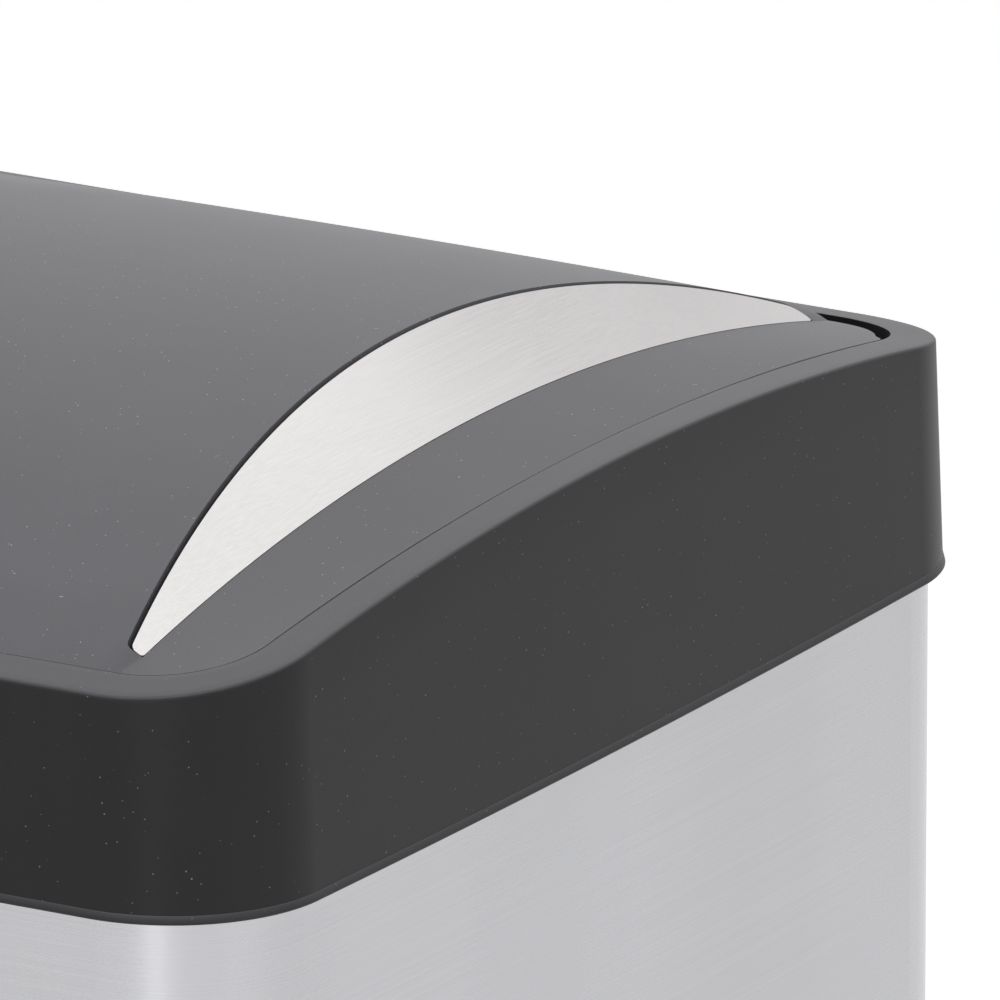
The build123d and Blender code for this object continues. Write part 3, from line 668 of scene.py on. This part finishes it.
def lid_skin():
    """The sewn skin, open below."""
    mesh = bmesh.new()
    for k, steps in enumerate(level_steps):
        patch(mesh, dome_steps, steps, dome_patch(k))
        if k in (1, 2):
            patch(mesh, 1, steps, shoulder(k))
            patch(mesh, 4, steps, trench(k))
            patch(mesh, bed_steps, steps, bed_patch(k))
            patch(mesh, 1, steps, lower_wall(k))
            patch(mesh, end_steps, steps, end_patch(k))
        else:
            patch(mesh, bed_steps + 2, steps, tip_patch(k))
    patch(mesh, end_steps, level_steps[0], corner_patch(-1, near_tip))
    patch(mesh, end_steps, level_steps[3], corner_patch(1, far_tip))
    for tip in (near_tip, far_tip):
        trench_end, bed_end = tip_wall(tip)
        patch(mesh, 1, 2, trench_end)
        patch(mesh, bed_steps, 1, bed_end)
    sew(mesh)
    return mesh


test = lid_skin()
open_edges = sum(edge.is_boundary for edge in test.edges)
print("The skin has", len(test.faces), "faces and", open_edges, "edges round it")
test.free()

# %% [markdown]
# ## Hinge ears and the finished lids
# Each lid turns on two pins near its back edge, and hangs on them by two pairs of ears.
# The skin gets its wall from a Solidify modifier, and a small Bevel rounds its edges, because
# a moulding has no sharp ones: that thin bright line is what makes a seam look real.

# %% The lids
pin_low, pin_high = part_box("right_hinge_pins")
hinge_y = (pin_low.y + pin_high.y) / 2
hinge_z = (pin_low.z + pin_high.z) / 2
hinge_from_end = 44.0
hinge_places = (hinge_from_end, half_width - ledge_inset - hinge_from_end)
ear_radius = 3.7
ear_width = 6.0
ear_offset = 8.5
stem_width = 0.98 * ear_width
stem_depth = 0.9 * 2 * ear_radius


def pull_skirt(mesh):
    """Draw the skin's edge down to the skirt's foot, except round the open back."""
    back_y = to_frame(0, rear_start + 0.5, 0).y
    inner_x = (split_x + 1) * mm
    rim = [edge for edge in mesh.edges if edge.is_boundary
           and not all(v.co.y > back_y - mm and v.co.x > inner_x for v in edge.verts)]
    made = bmesh.ops.extrude_edge_only(mesh, edges=rim)["geom"]
    for item in made:
        if isinstance(item, bmesh.types.BMVert):
            item.co.z = skirt_z * mm
    face_outwards(mesh)


def add_ears(mesh):
    """The hinge ears below the shell."""
    for x in hinge_places:
        for side in (-1, 1):
            middle = Vector(((x + side * ear_offset) * mm, hinge_y, hinge_z))
            turn_x = Matrix.Rotation(radians(90), 4, "Y")
            bmesh.ops.create_cone(mesh, cap_ends=True, segments=48, radius1=ear_radius * mm,
                                  radius2=ear_radius * mm, depth=ear_width * mm,
                                  matrix=Matrix.Translation(middle) @ turn_x)
            top = (dome_z(x, hinge_y / mm - middle_y) - lid_wall - 1) * mm
            height = top - hinge_z
            size = Matrix.Diagonal((stem_width * mm, stem_depth * mm, height, 1))
            lift = Matrix.Translation(middle + Vector((0, 0, height / 2)))
            bmesh.ops.create_cube(mesh, size=1.0, matrix=lift @ size)


def solid_wall(mesh, thickness):
    """Give a skin its wall, inwards."""
    data = bpy.data.meshes.new("skin")
    mesh.to_mesh(data)
    made = bpy.data.objects.new("skin", data)
    bpy.context.scene.collection.objects.link(made)
    wall = made.modifiers.new("wall", "SOLIDIFY")
    wall.thickness = thickness * mm
    wall.offset = -1.0
    wall.use_quality_normals = True
    evaluated = made.evaluated_get(bpy.context.evaluated_depsgraph_get())
    walled = bmesh.new()
    walled.from_mesh(evaluated.to_mesh())
    bpy.data.objects.remove(made)
    mesh.free()
    return walled


skin = lid_skin()
pull_skirt(skin)
shell = solid_wall(skin, lid_wall)
add_ears(shell)
left_shell = mirrored(shell)
right_lid = piece("right_lid_shell", shell, "right_lid", "right_lid")
left_lid = piece("left_lid_shell", left_shell, "left_lid", "left_lid")
for lid in (right_lid, left_lid):
    round_edges(lid, 0.1, angle=62.0)
print("Each lid has", len(right_lid.data.polygons), "faces before its edges are rounded")

# %% [markdown]
# ## Crescents
# The inlay is a strip of thin stainless sheet. Its lower edge is straight in plan, its upper
# edge follows the dome's, and its tips are rounded. One grid is enough: near a tip its sides
# close in by the tip's radius.

# %% The crescents
foot_gap = 0.12
foot_round = 1.0
sheet_steps = 14
tip_detail = 160


def crescent_place(u, v):
    """A place on the sheet: 0 to 1 from its upper edge to its foot, and from tip to tip."""
    y = lerp(near_tip + foot_gap, far_tip - foot_gap, 0.5 - 0.5 * cos(pi * v))
    tip = near_tip if y < 0 else far_tip
    short = max(foot_round - abs(tip - y), 0)
    lower = foot_x - foot_gap - (foot_round - sqrt(foot_round ** 2 - short ** 2))
    upper = min(edge_x(y, crescent_gap) + tip_pinch(y), lower)
    x = lerp(upper, lower, u)
    return x, y, facet_z(x, y)


strip = bmesh.new()
patch(strip, sheet_steps, tip_detail, crescent_place)
sew(strip)
sheet = solid_wall(strip, crescent_sheet)
left_sheet = mirrored(sheet)
right_crescent = piece("right_crescent_sheet", sheet, "right_lid", "right_crescent")
left_crescent = piece("left_crescent_sheet", left_sheet, "left_lid", "left_crescent")
for crescent in (right_crescent, left_crescent):
    round_edges(crescent, 0.25, segments=3)
print("Each crescent is", round(2 * crescent_half), "mm long")

# %% [markdown]
# ## The band
# The band is one profile carried round the outline. The profile is closed: lip, bead, a wall
# that leans in by 2 degrees, the rounded top edge, the ledge, the inner wall, and back
# inside. A quarter of the ring is a single grid, and two mirrors complete it.

# %% The band
band_draft = radians(2.1)
bead_height = 2.0
bead_proud = 0.5
edge_round = 0.8
inner_round = 0.1
sheet_inset = 3.5
shelf_top = lip_z + 26.0
shelf_bottom = shelf_top - 2.5
hidden_wall = 2.5
round_steps = 4
quarter_steps = 240


def lean(height):
    """How far the wall has leaned in at a height above the lip."""
    return bead_proud + height * tan(band_draft)


def band_profile(t):
    """The band's section at t on the outline, as places from lip to lip."""
    def at(inset, z):
        x, y = outline_point(t, inset)
        return x, y, z

    def on_arch(inset, drop=0.0):
        x, y = outline_point(t, inset)
        return x, y, arch_z(y) - drop

    top = on_arch(bead_proud)[2] - lip_z
    outer = lean(top - edge_round)
    places = [at(sheet_inset, lip_z), at(0.3, lip_z), at(0.0, lip_z + 0.35),
              at(0.8 * bead_proud, lip_z + bead_height - 0.15), at(lean(bead_height), lip_z + bead_height)]
    for share in (0.25, 0.5, 0.75, 1.0):
        height = lerp(bead_height, top - edge_round, share)
        places.append(at(lean(height), lip_z + height))
    for i in range(1, round_steps + 1):
        angle = radians(90) * i / round_steps
        x, y, z = on_arch(outer + edge_round * (1 - cos(angle)), edge_round * (1 - sin(angle)))
        places.append((x, y, z))
    for share in (0.25, 0.5, 0.75):
        places.append(on_arch(lerp(outer + edge_round, ledge_inset - inner_round, share)))
    for i in range(round_steps + 1):
        angle = radians(90) * i / round_steps
        places.append(on_arch(ledge_inset - inner_round * (1 - sin(angle)), inner_round * (1 - cos(angle))))
    places += [at(ledge_inset, shelf_bottom), at(ledge_inset - hidden_wall, shelf_bottom)]
    places += [on_arch(ledge_inset - hidden_wall, hidden_wall), on_arch(outer + hidden_wall, hidden_wall)]
    places += [at(outer + hidden_wall, lip_z + 30.0), at(sheet_inset, lip_z + 30.0), at(sheet_inset, lip_z)]
    return places


profile_steps = len(band_profile(0)) - 1
band_mesh = bmesh.new()
columns = [band_profile(i / quarter_steps) for i in range(quarter_steps + 1)]
patch(band_mesh, quarter_steps, profile_steps,
      lambda u, v: columns[round(u * quarter_steps)][round(v * profile_steps)])
middle = Vector((0, middle_y * mm, 0))
for axis in ("X", "Y"):
    normal = Vector((1, 0, 0)) if axis == "X" else Vector((0, 1, 0))
    whole = band_mesh.verts[:] + band_mesh.edges[:] + band_mesh.faces[:]
    other = bmesh.ops.duplicate(band_mesh, geom=whole)["geom"]
    flipped = [item for item in other if isinstance(item, bmesh.types.BMVert)]
    bmesh.ops.scale(band_mesh, vec=Vector((1, 1, 1)) - 2 * normal, verts=flipped,
                    space=Matrix.Translation(-middle))
bmesh.ops.remove_doubles(band_mesh, verts=band_mesh.verts, dist=1e-6)
bmesh.ops.recalc_face_normals(band_mesh, faces=band_mesh.faces)
band = piece("top_band", band_mesh, "root", sharp=40.0)
print("The band has", len(band.data.polygons), "faces")

# %% [markdown]
# The rest of the rim, inside the ledge, is carried over from the model: the shelf with its two
# openings, the sleeves and the hinge ears. A copy of the model's mesh keeps those faces and
# drops the outer band, which the smooth one replaces.

# %% The shelf inside the band
def model_copy(name):
    """A merged copy of a model node's mesh."""
    mesh = bmesh.new()
    mesh.from_mesh(nodes[name].data)
    bmesh.ops.remove_doubles(mesh, verts=mesh.verts, dist=1e-6)
    return mesh


def inside_ledge(vertex):
    """Whether a vertex lies inside the band's inner wall."""
    x = abs(vertex.co.x) / mm
    y = abs(vertex.co.y / mm - middle_y)
    reach = ledge_inset - hidden_wall - 0.3
    furthest_x = limit_x(min(y, half_depth - reach - 2), reach)
    furthest_y = limit_y(min(x, half_width - reach - 2), reach)
    return x < furthest_x and y < furthest_y


shelf_mesh = model_copy("rim")
outer_faces = [face for face in shelf_mesh.faces if not all(inside_ledge(v) for v in face.verts)]
bmesh.ops.delete(shelf_mesh, geom=outer_faces, context="FACES")
shelf = piece("rim_shelf", shelf_mesh, "root", "rim")
print("The shelf keeps", len(shelf.data.polygons), "faces")

# %% [markdown]
# ## Moulded plastic
# Most of the bin is moulded in a mould whose steel was spark-eroded, which leaves a fine
# grain in the plastic. The lids are a little smoother than the band, so they mirror the white
# room more at a flat angle. A fine noise makes the grain, a broad one makes the flow marks,
# and small cells make the few dust specks that every photograph of a dark lid shows.

# %% Plastic finishes
def moulded(name, level, roughness, specular, grain=2200.0, relief=0.00002, mottling=0.05,
            dust=0.0, streaks=0.0, settled=None):
    """Moulded plastic: a grey level, and how much the grain, flow marks, dust and streaks show.

    The last argument is the paler grey of faces that look up: painted light on the tops, mixed with a
    little dust.
    """
    made = Finish(name)
    fine = made.noise(grain, detail=2.0)
    broad = made.noise(16.0, detail=4.0)
    drawn = made.noise(1.0, detail=3.0, place=made.stretched(42.0, 42.0, 9.0))
    share = (broad * 0.5 + fine * 0.3 + drawn * 0.2).between(0.32, 0.68)
    dark, light = grey(level * (1 - mottling), 0.09), grey(level * (1 + mottling), 0.09)
    colour = made.mix(share, dark, light)
    if streaks:
        colour = made.mix(drawn.between(0.4, 0.7) * streaks, colour, grey(level * 1.25, 0.09))
    # Painted light: faces that look up are made paler for the light that tops catch, mixed with a little
    # dust.
    if settled:
        painted_top_share = made.node("SeparateXYZ", {}, made.facing, output=2).between(0.05, 0.95)
        colour = made.mix(painted_top_share * (0.85 + share * 0.15), colour, grey(settled, 0.09))
    rough = broad * 0.1 + drawn * 0.06 + (roughness - 0.08)
    if dust:
        cells = made.node("TexVoronoi", {"feature": "F1"}, Vector=made.place, Scale=420.0)
        speck = 1 - (cells + made.noise(170.0, detail=1.0) * 0.12).between(0.1, 0.135)
        colour = made.mix(speck * dust, colour, grey(205))
        rough = rough + speck * 0.2
    made.surface(Base_Color=colour, Roughness=rough, Specular_IOR_Level=specular)
    made.bump(fine, relief)
    return made.material


finishes = {
    "lid_plastic": moulded("lid_plastic", 100, 0.44, 0.22, grain=2600.0, relief=0.000012, dust=0.75),
    # The band's upward faces get a paler grey of 88: painted light on the ledge and top edge, with a little
    # dust.
    "rim_plastic": moulded("rim_plastic", 30, 0.44, 0.24, relief=0.00003, mottling=0.09,
                           streaks=0.3, dust=0.3, settled=88),
    "base_plastic": moulded("base_plastic", 42, 0.5, 0.3, relief=0.00003, mottling=0.08),
    "pad_plastic": moulded("pad_plastic", 44, 0.46, 0.35, grain=1800.0, relief=0.00004, dust=0.4),
    "bucket_plastic": moulded("bucket_plastic", 78, 0.42, 0.4, grain=1500.0, mottling=0.07),
    "liner_plastic": moulded("liner_plastic", 84, 0.55, 0.35, grain=1200.0, relief=0.00005),
    "arm_plastic": moulded("arm_plastic", 46, 0.4, 0.45, grain=1900.0),
    "guide_plastic": moulded("guide_plastic", 70, 0.5, 0.4, grain=1700.0),
    "damper_plastic": moulded("damper_plastic", 118, 0.3, 0.5, grain=2600.0, relief=0.000008),
    "grip_plastic": moulded("grip_plastic", 48, 0.55, 0.4, grain=900.0, relief=0.00008),
}
print("Plastics:", ", ".join(finishes))

# %% [markdown]
# ## Stainless steel
# Sheet with a brushed grain is scratched along one direction by a belt, so its lines are
# long and very thin. A noise stretched a few hundred times along that direction draws them.
# The body is brushed round its girth and the crescents from tip to tip. Wider, softer bands
# come from the belt's pressure, and faint warm smudges from hands.

# %% Brushed steel finishes
def brushed(name, level, roughness, lines_scale, bands_scale, depth=5, blue=0.0, red=0.0):
    """Brushed stainless sheet: a grey level, its lines and its soft bands."""
    made = Finish(name)
    lines = made.noise(1.0, detail=1.0, place=made.stretched(*lines_scale))
    bands = made.noise(1.0, detail=2.0, place=made.stretched(*bands_scale))
    hands = made.noise(9.0, detail=3.0).between(0.5, 0.75)
    steel = made.mix((lines * 0.5 + bands * 0.5).between(0.25, 0.75), grey(level - depth, blue, red),
                     grey(level + depth, blue, red))
    made.surface(Base_Color=made.mix(hands * 0.3, steel, grey(level - 12, 0.0, 0.03)), Metallic=1.0,
                 Roughness=bands * 0.08 + lines * 0.03 + hands * 0.04 + (roughness - 0.06))
    made.bump(lines, 0.0000015)
    return made.material


line_density = 2600
finishes["body_steel"] = brushed("body_steel", 189, 0.28, (7, 7, 3200), (16, 16, 1.2), blue=0.04)
finishes["crescent_steel"] = brushed("crescent_steel", 196, 0.28,
                                    (line_density, 7, line_density), (34, 12, 20), red=0.03)
finishes["bail_steel"] = brushed("bail_steel", 200, 0.26, (900, 900, 900), (30, 30, 30), depth=6)
print("The crescent's brushed lines lie", round(1000 / line_density, 2), "mm apart or so")

# %% [markdown]
# ## Hidden metal and rubber
# Pins, rods and screws are turned from bright zinc-plated steel, whose crystals give a faint
# patchwork. The levers are painted black. Feet, buffers and treads are soft rubber, which
# is matt, scatters light, and carries a little pale dust.

# %% Plated, painted and rubber finishes
def plated(name, level, roughness, grain):
    """Zinc-plated or turned steel with a faint patchwork."""
    made = Finish(name)
    cells = made.node("TexVoronoi", {"feature": "SMOOTH_F1"}, Vector=made.place, Scale=grain)
    cloud = made.noise(120.0, detail=4.0)
    share = (cells * 0.6 + cloud * 0.4).between(0.2, 0.7)
    made.surface(Base_Color=made.mix(share, grey(level - 12, 0.03), grey(level + 10, 0.03)), Metallic=1.0,
                 Roughness=cloud * 0.14 + (roughness - 0.07))
    made.bump(cells, 0.00001)
    return made.material


def rubber(name, level, grain):
    """Matt rubber with a little dust in its grain."""
    made = Finish(name)
    fine = made.noise(grain, detail=3.0)
    dust = made.noise(60.0, detail=5.0).between(0.5, 0.8)
    made.surface(Base_Color=made.mix(dust * 0.3 + fine * 0.1, grey(level), grey(level + 45)),
                 Roughness=fine * 0.1 + 0.78, Specular_IOR_Level=0.25)
    made.bump(fine, 0.00006)
    return made.material


finishes["zinc_steel"] = plated("zinc_steel", 200, 0.38, 260.0)
finishes["pin_steel"] = plated("pin_steel", 190, 0.24, 900.0)
finishes["rod_steel"] = plated("rod_steel", 195, 0.28, 420.0)
finishes["rivet_steel"] = plated("rivet_steel", 192, 0.34, 700.0)
finishes["lever_steel"] = moulded("lever_steel", 40, 0.36, 0.5, grain=700.0, relief=0.00005, mottling=0.1)
finishes["foot_rubber"] = rubber("foot_rubber", 38, 1400.0)
finishes["buffer_rubber"] = rubber("buffer_rubber", 92, 1800.0)
finishes["tread_rubber"] = rubber("tread_rubber", 30, 1100.0)
print("There are", len(finishes), "finishes")

# %% [markdown]
# ## Rounded edges on the carried-over pieces
# The model's mouldings have knife edges, and real ones don't: light catches a radius of half
# a millimetre or more. A merged copy of the mesh takes a Bevel modifier, and the copy stands
# for the piece. Each finish then goes to its pieces.

# %% Softer copies, and every piece gets its finish
record = frame["record"]
slot_of = {entry["node"]: entry["material_slot"] for entry in record["subparts"]}
body_of = {name: body for body, names in record["behaviour"]["bodies"].items() for name in names}
edge_width = {"base": 0.8, "pedal_pad": 1.6, "pedal_tread": 0.35, "bucket": 0.6,
              "bail_grip": 0.8, "feet": 0.8}
dressed = [(right_lid, "lid_plastic"), (left_lid, "lid_plastic"), (right_crescent, "crescent_steel"),
           (left_crescent, "crescent_steel"), (band, "rim_plastic"), (shelf, "rim_plastic")]
for name, node in nodes.items():
    node.data.materials.clear()
    node.data.materials.append(finishes[slot_of[name]])
    kind = name.replace("right_", "").replace("left_", "")
    if kind in edge_width:
        copy = model_copy(name)
        bmesh.ops.dissolve_limit(copy, angle_limit=radians(0.4), verts=copy.verts, edges=copy.edges)
        softened = piece(name + "_softened", copy, body_of[name], name)
        round_edges(softened, edge_width[kind], angle=30.0)
        dressed.append((softened, slot_of[name]))
for made, slot in dressed:
    made.data.materials.append(finishes[slot])
print("New pieces:", ", ".join(made.name for made, slot in dressed))
